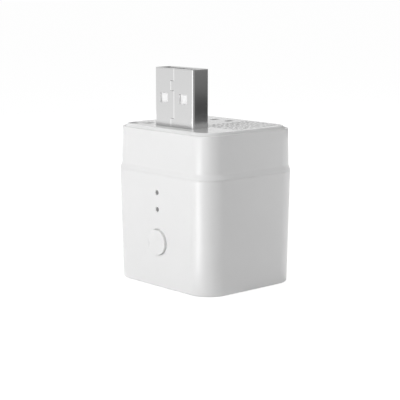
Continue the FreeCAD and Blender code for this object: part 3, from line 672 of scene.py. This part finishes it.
# %% Lower shell: the holes cut
holes = [(BUTTON_HEIGHT, BUTTON_REACH, button_profile)]
holes += [(height, LIGHT_REACH, light_profile) for height in LIGHT_HEIGHTS]
skin, number, quads = carry(lower_profile, shell_columns)
keep = np.ones(number.shape, dtype=bool)
middle_column = (len(front_marks) - 1) // 2
first_outside = len(foot_edge[0]) + len(below_patches)
rows_outside = len(foot_edge[0]) + len(wall_heights) + len(lip_edge[0])
last_inside = rows_outside + sum(map(len, ledge)) + len(inner_heights) - 2
skin_points = [skin.reshape(-1, 3)]
skin_quads = []
for height, reach, hole_profile in holes:
    count = 2 * reach + 1
    column_ids = middle_column + np.arange(-reach, reach + 1)
    outer_ids = first_outside + np.arange(count)
    inner_ids = last_inside - np.arange(count)
    first_outside += count
    last_inside -= count
    keep[outer_ids[0]:outer_ids[-1], column_ids[0]:column_ids[-1]] = False
    keep[inner_ids[-1]:inner_ids[0], column_ids[0]:column_ids[-1]] = False
    ring_points, ring_quads = pierce(square_loop(number, outer_ids, column_ids),
                                     square_loop(number, inner_ids, column_ids),
                                     height, hole_profile, sum(map(len, skin_points)))
    skin_points.append(ring_points)
    skin_quads.append(ring_quads)
skin_quads.append(quads[keep])
print("holes", len(holes), "quads left out", int((~keep).sum()))

# %% [markdown]
# ## Rails and ribs
# Inside the shell the circuit board stands between four rails, and two ribs hold the socket. They are only
# seen when the model is opened, so plain closed blocks that sink into the wall are enough.

# %% Lower shell: the piece
RAIL_DEPTHS = ((-5.3, -4.3), (-2.7, -1.7))
RAIL_X, RAIL_Z = (12.06, 14.1), (0.9, 20.95)
RIB_X, RIB_Y, RIB_Z = (6.75, 7.75), (-1.775, 1.825), (0.9, 4.8)


def on_both_sides(x_limits):
    """The same limits along X on the left and on the right."""
    return [sorted((side * x_limits[0], side * x_limits[1])) for side in (-1, 1)]


rails = [[x_limits, depths, RAIL_Z] for x_limits in on_both_sides(RAIL_X) for depths in RAIL_DEPTHS]
ribs = [[x_limits, RIB_Y, RIB_Z] for x_limits in on_both_sides(RIB_X)]
bar_points, bar_quads = bars(rails + ribs)
skin_quads.append(bar_quads + sum(map(len, skin_points)))
skin_points.append(bar_points)
lower_skin = add_piece("lower_skin", np.concatenate(skin_points), np.concatenate(skin_quads).tolist(),
                       housing_white, "housing")
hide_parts("lower_shell")

# %% [markdown]
# ## Upper shell
# A cap with a flared foot that meets the lower shell in a fine line, a crisp shoulder, a flat rim, and a
# top plate that stands a little higher behind a sloped side with a fine groove at its foot. The slot for
# the plug is in the plate. The flare follows 3t² - 2t³, which leaves the wall and reaches the seam softly.

# %% Upper shell: the measures
LINE = 0.024                                 # the open line between the shells
SHELL_FOOT, WAIST, SHOULDER, PLATE = SEAM + LINE, 24.7, 32.75, 33.3
STEP, FLARE_START, FLARE, UPPER_DRAFT, RIM, SLOPE = 0.36, 0.05, 1.3, 0.15, 0.7, 0.4
FOOT_EDGE_ROUND, SHOULDER_ROUND, PLATE_ROUND, PLATE_BAND, SLOT_ROUND = 0.02, 0.10, 0.22, 0.5, 0.12
UPPER_WALL_HEIGHTS = np.array([25.4, 27.5, 30.0, 32.2])
GROOVE_INSETS, GROOVE_DEPTHS = np.array([0.24, 0.20, 0.04, 0.0]), np.array([0.0, 0.09, 0.09, 0.0])
SLOT_HALF, SLOT_CORNER, SLOT_FRAME, PLUG_SHIFT = (6.1, 2.35), 0.6, 0.4, -6.4
CEILING, COLLAR_FOOT, COLLAR_WALL = PLATE - WALL, 30.5, 1.0
SKIRT_FOOT, SKIRT_PLAY = 21.15, 0.1


def upper_rows(inset, height):
    """Rows of the upper shell. Above the waist the walls lean in evenly by up to the draft."""
    height = np.asarray(height, dtype=float)
    lean = UPPER_DRAFT * np.clip((height - WAIST) / (SHOULDER - WAIST), 0.0, 1.0)
    return rows(HALF_WIDTH - inset - lean, HALF_DEPTH - inset - lean, CORNER - inset, height)


def slot_rows(step, height):
    """Rows of the plug's slot in the top plate, widened by step."""
    return rows(SLOT_HALF[0] + step, SLOT_HALF[1] + step, SLOT_CORNER + step, height, PLUG_SHIFT)


slope_angle = math.degrees(math.atan2(PLATE - SHOULDER, SLOPE))
print("the plate's side slopes by", round(slope_angle, 1), "degrees")

# %% Upper shell: the profile
flare_edge = arc(FOOT_EDGE_ROUND, SHELL_FOOT + FOOT_EDGE_ROUND, FOOT_EDGE_ROUND, -90.0, -180.0, 3)
flare = np.linspace(0.0, 1.0, 9)[1:]
shoulder_edge = arc(STEP + SHOULDER_ROUND, SHOULDER - SHOULDER_ROUND, SHOULDER_ROUND, 180.0, 90.0, 6)
plate_foot = STEP + RIM
plate_edge = arc(plate_foot + SLOPE + 0.5 * PLATE_ROUND, PLATE - PLATE_ROUND, PLATE_ROUND,
                 90.0 + slope_angle, 90.0, 5)
slot_edge = arc(SLOT_ROUND, PLATE - SLOT_ROUND, SLOT_ROUND, 90.0, 180.0, 4)
upper_profile = np.concatenate([
    upper_rows(*flare_edge),
    upper_rows(STEP * flare ** 2 * (3.0 - 2.0 * flare), SEAM + FLARE_START + FLARE * flare),
    upper_rows(STEP, UPPER_WALL_HEIGHTS),
    upper_rows(*shoulder_edge),
    upper_rows(plate_foot - GROOVE_INSETS, SHOULDER - GROOVE_DEPTHS),
    upper_rows(*plate_edge),
    upper_rows(plate_foot + SLOPE + PLATE_BAND, PLATE),
    slot_rows(SLOT_FRAME, PLATE),
    slot_rows(*slot_edge),
    slot_rows(0.0, np.array([CEILING, COLLAR_FOOT])),
    slot_rows(COLLAR_WALL, np.array([COLLAR_FOOT, CEILING])),
    upper_rows(WALL, np.array([CEILING, WAIST])),
    lower_rows(WALL, SKIRT_FOOT),
    lower_rows(LIP_WALL + SKIRT_PLAY, np.array([SKIRT_FOOT, SHELL_FOOT])),
])
print("upper profile", len(upper_profile), "rows")

# %% Upper shell: the piece with its forks
FORK_X, FORK_HALF = (-10.6, 10.6), 1.5
FORK_FOOT, FORK_BRIDGE_FOOT, FORK_TOP = 28.9, 30.1, 32.4

skin, number, quads = carry(upper_profile, shell_columns)
bridge_depths = (RAIL_DEPTHS[0][1], RAIL_DEPTHS[1][0])
fork_widths = [(x - FORK_HALF, x + FORK_HALF) for x in FORK_X]
forks = [[width, depths, (FORK_FOOT, FORK_TOP)] for width in fork_widths for depths in RAIL_DEPTHS]
forks += [[width, bridge_depths, (FORK_BRIDGE_FOOT, FORK_TOP)] for width in fork_widths]
bar_points, bar_quads = bars(forks)
upper_skin = add_piece("upper_skin", np.concatenate([skin.reshape(-1, 3), bar_points]),
                       np.concatenate([quads.reshape(-1, 4), bar_quads + number.size]).tolist(),
                       housing_white, "housing")
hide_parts("upper_shell")

# %% [markdown]
# ## Push button
# The button is turned from one profile: a flat face with a soft rim, a shaft in the wall, the flange that
# keeps it in and the post that reaches the switch. A profile turned about an axis is the oldest way to
# make a round thing, and here it is one line of numpy: radius times (cos a, sin a).

# %% Button cap
BUTTON_RADIUS, RIM_ROUND, FACE_PROUD, RIM_LAND = 2.68, 0.12, 0.55, 0.15
FACE_INNER, SHAFT_START = 1.2, 0.6
FLANGE_PLAY, FLANGE_RADIUS, FLANGE_THICK = 0.05, 3.6, 0.8
POST_RADIUS, POST_END = 1.6, -9.1


def turned(profile, height, count=72):
    """Turn a profile of (radius, Y) about the line along Y at that height: (r cos a, y, height + r sin a)."""
    angle = 2.0 * math.pi * np.arange(count) / count
    radius, along = profile[:, 0, None], profile[:, 1, None]
    rings = np.broadcast_arrays(radius * np.cos(angle), along, height + radius * np.sin(angle))
    points = np.stack(rings, axis=2)
    number = np.arange(points.shape[0] * count).reshape(-1, count)
    after = np.roll(number, -1, axis=1)
    quads = np.stack([number[:-1], number[1:], after[1:], after[:-1]], axis=2).reshape(-1, 4)
    return points.reshape(-1, 3), quads.tolist() + [number[0].tolist(), number[-1, ::-1].tolist()]


button_face = leaning_front(BUTTON_HEIGHT) - FACE_PROUD
flange_start = leaning_front(BUTTON_HEIGHT) + COLLAR_DEPTH + FLANGE_PLAY
flange_end = flange_start + FLANGE_THICK
rim_arc = arc(BUTTON_RADIUS - RIM_ROUND, button_face + RIM_ROUND, RIM_ROUND, -90.0, 0.0, 7)
cap_profile = np.concatenate([
    [[FACE_INNER, button_face], [BUTTON_RADIUS - RIM_ROUND - RIM_LAND, button_face]],
    np.stack(rim_arc, axis=1),
    [[BUTTON_RADIUS, button_face + SHAFT_START], [BUTTON_RADIUS, flange_start], [FLANGE_RADIUS, flange_start],
     [FLANGE_RADIUS, flange_end], [POST_RADIUS, flange_end], [POST_RADIUS, POST_END]],
])
cap_points, cap_faces = turned(cap_profile, BUTTON_HEIGHT)
round_button = add_piece("round_button", cap_points, cap_faces, button_white, "button")
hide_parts("button_cap")

# %% [markdown]
# ## The plug's sleeve
# The plug is one strip of tinned sheet folded into a sleeve. Its edges meet on the front face in a fine
# line that steps sideways where interlocked tabs hold it shut, and four windows are punched for the
# springs of the port. The sleeve is again a profile carried round a rectangle, now a thin one: up the
# outer wall, over the tip and down the inner wall.

# %% Plug sleeve: columns and rows
PLUG_HALF, PLUG_BEND, SHEET, PLUG_STEPS = (6.0, 2.25), 0.6, 0.3, 12
PLUG_FOOT, PLUG_TIP, TIP_ROUND, TIP_BAND = 25.4, 45.4, 0.09, 0.4
WINDOW_X, WINDOW_Z = (1.85, 4.22), (38.2, 40.2)
RUNS, JOGS = (0.06, -0.93), np.array([35.06, 40.76, 42.81])      # x of the line's two runs, z of its steps
GROOVE_HALF, JOG_HALF = 0.022, 0.060
HIGHLIGHT_BAND_EDGES = (0.20, 0.22)      # where the painted highlight beside the line ends, and where the plain tin starts
# heights at which the painted shade at the plug's foot is given
PAINTED_FOOT_HEIGHTS = (33.30, 33.50, 33.73, 33.94, 34.16, 34.40)


def plug_rows(inset, height):
    """Rows of the sleeve, drawn in by inset from its outer face."""
    inset = np.asarray(inset, dtype=float)
    return rows(PLUG_HALF[0] - inset, PLUG_HALF[1] - inset, PLUG_BEND - inset, height, PLUG_SHIFT)


flat_half = PLUG_HALF[0] - PLUG_BEND
windows = np.array([-WINDOW_X[1], -WINDOW_X[0], WINDOW_X[0], WINDOW_X[1]])
line_marks = np.array([-GROOVE_HALF, 0.0, GROOVE_HALF, *HIGHLIGHT_BAND_EDGES])
run_marks = (np.array(RUNS)[:, None] + line_marks).ravel()
plug_front = np.sort(np.concatenate([windows, run_marks, [-flat_half, flat_half]])) / flat_half
plug_back = np.concatenate([[-flat_half], windows, [flat_half]]) / flat_half
plug_side = np.array([-1.0, 0.0, 1.0])
plug_columns = columns_round_a_rectangle((plug_front, plug_side, plug_back, plug_side), PLUG_STEPS)

jog_rows = (JOGS[:, None] + JOG_HALF * np.array([-1.0, 0.0, 1.0])).ravel()
plug_heights = np.sort(np.concatenate([[PLUG_FOOT, PLUG_TIP - TIP_BAND], PAINTED_FOOT_HEIGHTS, WINDOW_Z, jog_rows]))
outer_tip = arc(TIP_ROUND, PLUG_TIP - TIP_ROUND, TIP_ROUND, 180.0, 90.0, 4)
inner_tip = arc(SHEET - 0.5 * TIP_ROUND, PLUG_TIP - 0.5 * TIP_ROUND, 0.5 * TIP_ROUND, 90.0, 0.0, 2)
plug_profile = np.concatenate([plug_rows(0.0, plug_heights), plug_rows(*outer_tip), plug_rows(*inner_tip),
                               plug_rows(SHEET, plug_heights[::-1])])
print("sleeve", len(plug_profile), "rows", len(plug_columns[0]), "columns")

# %% [markdown]
# ## The line where the sheet's edges meet
# The line is a groove: single points of the wall are pushed in a little. It runs up one column, and at each
# step it changes to the other. The rows of a step are pushed in between both columns, and deeper, because
# a step is seen from above. A real groove catches the light from every side, which a painted line doesn't.

# %% Plug sleeve: the groove
GROOVE_DEPTH, JOG_DEPTH = 0.018, 0.14

outer_count = len(plug_heights) + len(outer_tip[0])
level = plug_profile[:outer_count, 3]
front_x = plug_front * flat_half
right_run, left_run = [int(np.argmin(abs(front_x - run))) for run in RUNS]
on_right_run = (JOGS[None] > level[:, None]).sum(axis=1) % 2 == 0
on_jog = np.flatnonzero(np.isclose(level[:, None], JOGS[None]).any(axis=1))
push = np.zeros((len(plug_profile), len(plug_columns[0]), 1))
push[:outer_count, right_run, 0] = np.where(on_right_run, GROOVE_DEPTH, 0.0)
push[:outer_count, left_run, 0] = np.where(on_right_run, 0.0, GROOVE_DEPTH)
push[on_jog, left_run:right_run + 1, 0] = JOG_DEPTH
skin, number, quads = carry(plug_profile, plug_columns, push)
print("groove", GROOVE_DEPTH, "mm deep, steps at", JOGS.tolist())

# %% [markdown]
# ## Windows through the sheet
# A window is one quad left out of the outer wall and one left out of the inner wall, with four quads
# through the sheet between them. The columns and rows already lie on the windows' edges, so nothing has to
# be cut, and the edges are as sharp as a punch leaves them.

# %% Plug sleeve: the windows
keep = np.ones(number.shape, dtype=bool)
last = len(plug_profile) - 1
low_row = int(np.argmin(abs(plug_heights - WINDOW_Z[0])))
back_start = len(plug_front) + len(plug_side) + 2 * (PLUG_STEPS - 1)
front_cells = [int(np.argmin(abs(front_x - x))) for x in (windows[0], windows[2])]
punched = np.array(front_cells + [back_start + 1, back_start + 3])
keep[low_row, punched] = False
keep[last - low_row - 1, punched] = False
corner_rows = low_row + np.array([0, 0, 1, 1])
corner_columns = punched[:, None] + np.array([0, 1, 1, 0])
outer_loop = number[corner_rows, corner_columns]
inner_loop = number[last - corner_rows, corner_columns]
next_outer, next_inner = np.roll(outer_loop, -1, axis=1), np.roll(inner_loop, -1, axis=1)
through = np.stack([outer_loop, next_outer, next_inner, inner_loop], axis=2)
print("windows", len(punched))

# %% [markdown]
# ## Painted highlight and shade on the tin
# A painted highlight runs along one edge of the meeting line, painted shade darkens the plug's foot just
# above the plate, and painted shade darkens the cut edges of the windows. These follow the sheet and not a
# pattern in space, so each point of the mesh carries a number, shade, and the finish multiplies its colour
# by 1 + shade.

# %% Plug sleeve: the shade and the piece
# a painted highlight beside the meeting line, and painted shade on the cut edges of the windows
PAINTED_LINE_HIGHLIGHT, PAINTED_CUT_EDGE_SHADE = 0.24, -0.38
# painted shade at the plug's foot, darkest just above the plate
PAINTED_FOOT_SHADE = (-0.29, -0.26, -0.20, -0.12, -0.04, 0.0)
LEG_X, LEG_Y, LEG_Z = (5.7, 6.0), (-4.65, -2.4), (26.3, 27.9)

foot_shade_by_height = np.interp(level, PAINTED_FOOT_HEIGHTS, PAINTED_FOOT_SHADE)
flat_on = plug_columns[1][None, :, 1] ** 8      # 1 on the two broad faces, and soon 0 round the bends
sleeve_shade = np.zeros(number.shape)
# painted shade at the foot of the two broad faces
sleeve_shade[:outer_count] = foot_shade_by_height[:, None] * flat_on
# painted highlight beside the run of the line that is there at each height
sleeve_shade[:outer_count, right_run + 1:right_run + 3] += np.where(on_right_run, PAINTED_LINE_HIGHLIGHT, 0.0)[:, None]
sleeve_shade[:outer_count, left_run + 1:left_run + 3] += np.where(on_right_run, 0.0, PAINTED_LINE_HIGHLIGHT)[:, None]
# painted shade on the cut edges of the windows, inside the sheet's thickness
sleeve_shade[last - corner_rows, corner_columns] = PAINTED_CUT_EDGE_SHADE

leg_points, leg_quads = bars([[x_limits, LEG_Y, LEG_Z] for x_limits in on_both_sides(LEG_X)])
sleeve_quads = np.concatenate([quads[keep], through.reshape(-1, 4), leg_quads + number.size])
plug_sleeve = add_piece("plug_sleeve", np.concatenate([skin.reshape(-1, 3), leg_points]),
                        sleeve_quads.tolist(), plug_tin, "housing", sleeve_shade)
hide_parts("plug_shell")

# %% [markdown]
# ## Ink on the top plate
# Grey ink lies on the top plate in plain bars: short ones of uneven length in even rows, and four bold
# ones. A picture could be laid on the plate, but thin blocks need no picture and stay sharp in any view.
# They are a hundredth of a millimetre thick and matt, so at a low angle they stay darker than the polished
# plate. Random lengths come from a generator with a fixed seed, so they are the same each time.

# %% Bars of ink
INK = 0.010
SHORTEST = 0.25                  # of the longest bar in a row
GAPS, LEAST_SHOWN, BARS_DRAWN = (0.35, 0.80), 0.15, 40
BOLD_BARS = [((-5.5, -4.3), (6.4, 8.3)), ((-1.3, -0.1), (6.6, 8.6)),
             ((-12.3, -11.1), (-10.6, -9.0)), ((-9.5, -8.4), (-8.8, -6.6))]
rng = np.random.default_rng(7)


def print_rows(x_range, y_range, pitch, tall, longest):
    """Limits of bars in rows along X. Lengths and gaps are random; a row's last bar ends at its edge."""
    limits = []
    for middle in np.arange(y_range[0] + pitch / 2, y_range[1], pitch):
        lengths = rng.uniform(SHORTEST * longest, longest, BARS_DRAWN)
        gaps = rng.uniform(*GAPS, BARS_DRAWN)
        starts = x_range[0] + np.concatenate([[0.0], np.cumsum(lengths + gaps)[:-1]])
        ends = np.minimum(starts + lengths, x_range[1])
        shown = ends - starts > LEAST_SHOWN
        limits += [[(s, e), (middle - tall / 2, middle + tall / 2), (PLATE, PLATE + INK)]
                   for s, e in zip(starts[shown], ends[shown])]
    return limits


mark_limits = print_rows((-10.9, -9.7), (-10.6, -6.0), 1.15, 0.55, 1.2)
mark_limits += print_rows((2.2, 12.6), (-3.0, 10.6), 1.36, 0.48, 1.3)
mark_limits += [[x_range, y_range, (PLATE, PLATE + INK)] for x_range, y_range in BOLD_BARS]
mark_points, mark_quads = bars(mark_limits)
grey_ink = moulded_plastic("grey_ink", grey(0.32), 0.70, 1800.0, 1.0e-6, ior=1.2)
add_piece("plate_marks", mark_points, mark_quads.tolist(), grey_ink, "housing")
print("bars", len(mark_limits))

# %% [markdown]
# ## Two finishes of small parts
# Through the plug's windows and the shells' openings one sees real parts. A ceramic chip has tinned ends,
# and a circuit board has a green mask over a fine mesh of copper. Both are one block with two looks, so a
# rule in the material decides: the distance from the chip's middle, and a brick pattern for the board.

# %% Ceramic chips
END_START = 0.5 * MM


def ended_chip(name, body, middle_height):
    """A ceramic chip with tinned ends: the metal starts where |z - middle| passes END_START."""
    material, tree = new_material(name)
    place = add_node(tree, "ShaderNodeTexCoord")
    split = add_node(tree, "ShaderNodeSeparateXYZ")
    join(tree, place, "Object", split, "Vector")
    from_middle = add_node(tree, "ShaderNodeMath", {1: middle_height * MM}, operation="SUBTRACT")
    join(tree, split, "Z", from_middle, 0)
    distance = add_node(tree, "ShaderNodeMath", operation="ABSOLUTE")
    join(tree, from_middle, 0, distance, 0)
    ended = add_node(tree, "ShaderNodeMath", {1: END_START}, operation="GREATER_THAN")
    join(tree, distance, 0, ended, 0)
    speckle = noise_at(tree, place, "Object", Scale=1500.0, Detail=2.0)
    ceramic = add_node(tree, "ShaderNodeMix", {"A": times(body, 0.85), "B": times(body, 1.15)},
                       data_type="RGBA")
    join(tree, speckle, "Fac", ceramic, "Factor")
    colour = add_node(tree, "ShaderNodeMix", {"B": grey(0.72)}, data_type="RGBA")
    join(tree, ended, 0, colour, "Factor")
    join(tree, ceramic, "Result", colour, "A")
    shader = add_node(tree, "ShaderNodeBsdfPrincipled", {"Roughness": 0.35})
    join(tree, colour, "Result", shader, "Base Color")
    join(tree, ended, 0, shader, "Metallic")
    become_surface(tree, shader)
    return material


RESISTOR_MIDDLE, CAPACITOR_MIDDLE = 17.575, 20.175      # millimetres above the foot
resistor_black = ended_chip("resistor_black", grey(0.030), RESISTOR_MIDDLE)
capacitor_tan = ended_chip("capacitor_tan", (0.36, 0.21, 0.11, 1.0), CAPACITOR_MIDDLE)
print("chips", resistor_black.name, capacitor_tan.name)

# %% Circuit board


def board_green(name):
    """Solder mask over copper: two close greens, lighter where the fine mesh of conductors runs below it."""
    material, tree = new_material(name)
    place = add_node(tree, "ShaderNodeTexCoord")
    turn = add_node(tree, "ShaderNodeMapping", {"Rotation": (math.pi / 2, 0.0, 0.0)})
    join(tree, place, "Object", turn, "Vector")
    conductors = add_node(tree, "ShaderNodeTexBrick", {
        "Scale": 420.0, "Mortar Size": 0.06, "Color1": (0.012, 0.105, 0.045, 1.0),
        "Color2": (0.014, 0.120, 0.052, 1.0), "Mortar": (0.030, 0.190, 0.085, 1.0)})
    join(tree, turn, "Vector", conductors, "Vector")
    shader = add_node(tree, "ShaderNodeBsdfPrincipled", {"Roughness": 0.32, "IOR": 1.5})
    join(tree, conductors, "Color", shader, "Base Color")
    become_surface(tree, shader)
    return material


circuit_green = board_green("board_green")
print("board", circuit_green.name)

# %% [markdown]
# ## A finish for every slot
# The record gives each node a slot, which is the maker's word for what it is made of. Every slot gets its
# own finish, so that the model also looks right when it is opened. The nodes keep their own meshes: only
# their material is changed.

# %% Finishes by slot
finishes = {
    "housing": housing_white,
    "button": button_white,
    "plug_metal": plug_tin,
    "socket_metal": sheet_metal("socket_tin", grey(0.70), 0.26),
    "insulator": moulded_plastic("insulator_white", grey(0.88), 0.45, 3000.0, 3.0e-6),
    "contact_gold": sheet_metal("contact_gold", (0.83, 0.58, 0.24, 1.0), 0.20),
    "circuit_board": circuit_green,
    "shield_metal": sheet_metal("shield_tin", grey(0.66), 0.34),
    "copper": sheet_metal("trace_copper", (0.76, 0.38, 0.22, 1.0), 0.30),
    "chip_plastic": moulded_plastic("chip_black", grey(0.022), 0.52, 2400.0, 4.0e-6),
    "crystal_metal": sheet_metal("crystal_steel", grey(0.60), 0.24),
    "plunger_plastic": moulded_plastic("plunger_grey", grey(0.10), 0.40, 2000.0, 2.0e-6),
    "ferrite": moulded_plastic("ferrite_grey", grey(0.050), 0.70, 1600.0, 8.0e-6),
    "can_aluminium": sheet_metal("can_aluminium", grey(0.80), 0.28, (1.0, 12.0, 1.0)),
    "resistor_ceramic": resistor_black,
    "capacitor_ceramic": capacitor_tan,
    "light_guide": moulded_plastic("smoky_rod", grey(0.22), 0.25, 2000.0, 1.0e-6),
    "light_lens": moulded_plastic("lens_amber", (0.78, 0.70, 0.42, 1.0), 0.18, 1200.0, 1.0e-6),
}
for row in frame["record"]["subparts"]:
    nodes[row["node"]].data.materials.clear()
    nodes[row["node"]].data.materials.append(finishes[row["material_slot"]])
print("dressed", len(nodes), "nodes in", len(finishes), "finishes")
